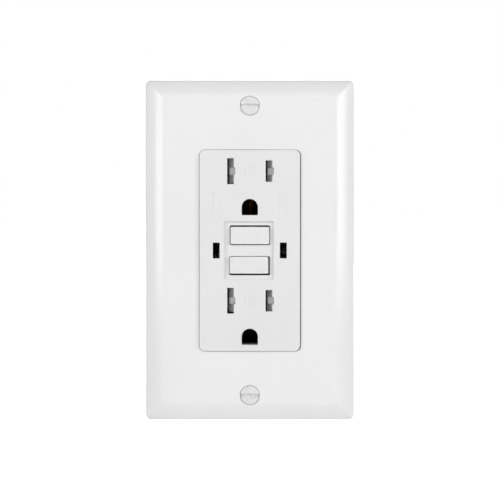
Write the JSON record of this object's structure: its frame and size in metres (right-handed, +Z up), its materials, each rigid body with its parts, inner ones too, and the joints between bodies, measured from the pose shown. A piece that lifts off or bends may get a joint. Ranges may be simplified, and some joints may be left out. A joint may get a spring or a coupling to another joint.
{
  "type": "gfci outlet",
  "caption": "Ground-fault circuit-interrupter receptacle with a screwed-on wall plate, test and reset buttons, plug shutters, side wire terminals and an internal trip mechanism.",
  "frame": {"origin": "centre of the wall plate's back, on the wall's surface", "axes": "+Z up, +Y into the wall, +X to the right as seen from the room"},
  "size_m": [0.0702, 0.0361, 0.1142],
  "materials": {
    "plate": "smooth, semi-gloss white",
    "face": "smooth, semi-gloss white",
    "button": "smooth, semi-gloss white",
    "shutter": "fine satin",
    "screw_paint": "white enamel on steel",
    "zinc_steel": "zinc plated",
    "spring_steel": "drawn wire",
    "brass": "stamped, slightly dull",
    "nickel": "nickel plated brass",
    "copper": "enamelled copper winding",
    "green_screw": "green dyed plating",
    "case_black": "fine moulded texture",
    "inner_plastic": "fine moulded texture",
    "smoked_lens": "polished, very dark",
    "led_lens": "clear tinted epoxy",
    "board_green": "solder mask",
    "ferrite": "dry, dark grey",
    "varistor_blue": "dipped epoxy",
    "epoxy_black": "moulded epoxy"
  },
  "bodies": {
    "outlet": {"box_screw_lower": "zinc_steel", "box_screw_upper": "zinc_steel", "capacitor": "epoxy_black", "case_screw_lower_left": "zinc_steel", "case_screw_lower_right": "zinc_steel", "case_screw_upper_left": "zinc_steel", "case_screw_upper_right": "zinc_steel", "circuit_board": "board_green", "control_chip": "epoxy_black", "face_cover": "face", "ground_clip_lower": "brass", "ground_clip_upper": "brass", "hot_contacts": "brass", "led_left": "led_lens", "led_right": "led_lens", "light_pipe_left": "smoked_lens", "light_pipe_right": "smoked_lens", "line_hot_terminal": "brass", "line_neutral_terminal": "nickel", "mounting_strap": "zinc_steel", "neutral_contacts": "nickel", "neutral_transformer": "ferrite", "plate_screw_lower": "screw_paint", "plate_screw_upper": "screw_paint", "plunger_spring": "spring_steel", "rear_case": "case_black", "reset_spring": "spring_steel", "sense_transformer": "copper", "separator": "inner_plastic", "shutter_retainer_lower": "inner_plastic", "shutter_retainer_upper": "inner_plastic", "shutter_spring_lower": "spring_steel", "shutter_spring_upper": "spring_steel", "solenoid_bobbin": "inner_plastic", "solenoid_winding": "copper", "test_contact": "brass", "test_spring": "spring_steel", "transformer_housing": "inner_plastic", "varistor": "varistor_blue", "wall_plate": "plate"},
    "test_button_body": {"test_button": "button"},
    "reset_button_body": {"reset_button": "button", "reset_pin": "zinc_steel"},
    "upper_shutter_body": {"shutter_upper": "shutter"},
    "lower_shutter_body": {"shutter_lower": "shutter"},
    "plunger_body": {"plunger": "zinc_steel"},
    "carriage_body": {"contact_carriage": "inner_plastic"},
    "latch_body": {"latch": "zinc_steel"},
    "arms_body": {"hot_arm": "brass", "neutral_arm": "nickel"},
    "ground_screw_body": {"ground_screw": "green_screw"},
    "load_hot_screw_body": {"load_hot_screw": "brass", "load_hot_clamp": "zinc_steel"},
    "line_hot_screw_body": {"line_hot_screw": "brass", "line_hot_clamp": "zinc_steel"},
    "load_neutral_screw_body": {"load_neutral_screw": "nickel", "load_neutral_clamp": "zinc_steel"},
    "line_neutral_screw_body": {"line_neutral_screw": "nickel", "line_neutral_clamp": "zinc_steel"}
  },
  "joints": [
    {"name": "test_press", "type": "slide", "parent": "outlet", "child": "test_button_body", "axis": [0, 1, 0], "range_m": [0, 0.0012], "stiffness_N_per_m": 700, "springref_m": -0.0012, "deforming": ["test_spring"]},
    {"name": "reset_press", "type": "slide", "parent": "outlet", "child": "reset_button_body", "axis": [0, 1, 0], "range_m": [0, 0.0022], "stiffness_N_per_m": 600, "springref_m": -0.0015, "deforming": ["reset_spring"]},
    {"name": "upper_shutter_slide", "type": "slide", "parent": "outlet", "child": "upper_shutter_body", "axis": [1, 0, 0], "range_m": [0, 0.0029], "stiffness_N_per_m": 120, "springref_m": -0.001, "deforming": ["shutter_spring_upper"]},
    {"name": "lower_shutter_slide", "type": "slide", "parent": "outlet", "child": "lower_shutter_body", "axis": [1, 0, 0], "range_m": [0, 0.0029], "stiffness_N_per_m": 120, "springref_m": -0.001, "deforming": ["shutter_spring_lower"]},
    {"name": "plunger_trip", "type": "slide", "parent": "outlet", "child": "plunger_body", "axis": [0, 0, -1], "range_m": [0, 0.0019], "stiffness_N_per_m": 150, "springref_m": -0.003, "deforming": ["plunger_spring"]},
    {"name": "carriage_drop", "type": "slide", "parent": "outlet", "child": "carriage_body", "axis": [0, 1, 0], "range_m": [0, 0.0015]},
    {"name": "latch_slide", "type": "slide", "parent": "carriage_body", "child": "latch_body", "axis": [0, 0, -1], "range_m": [0, 0.0019]},
    {"name": "arms_open", "type": "hinge", "parent": "outlet", "child": "arms_body", "pos_m": [0, 0.0146, -0.0211], "axis": [1, 0, 0], "range_deg": [-5.6, 0]},
    {"name": "load_hot_screw_out", "type": "slide", "parent": "outlet", "child": "load_hot_screw_body", "axis": [1, 0, 0], "range_m": [0, 0.0024]},
    {"name": "line_hot_screw_out", "type": "slide", "parent": "outlet", "child": "line_hot_screw_body", "axis": [1, 0, 0], "range_m": [0, 0.0024]},
    {"name": "load_neutral_screw_out", "type": "slide", "parent": "outlet", "child": "load_neutral_screw_body", "axis": [-1, 0, 0], "range_m": [0, 0.0024]},
    {"name": "line_neutral_screw_out", "type": "slide", "parent": "outlet", "child": "line_neutral_screw_body", "axis": [-1, 0, 0], "range_m": [0, 0.0024]},
    {"name": "ground_screw_out", "type": "slide", "parent": "outlet", "child": "ground_screw_body", "axis": [-1, 0, 0], "range_m": [0, 0.0024]}
  ],
  "couplings": [
    {"joint": "latch_slide", "follows": "plunger_trip", "ratio": 1},
    {"joint": "carriage_drop", "follows": "plunger_trip", "ratio": 0.78},
    {"joint": "arms_open", "follows": "plunger_trip", "rad_per_m": -51}
  ]
}
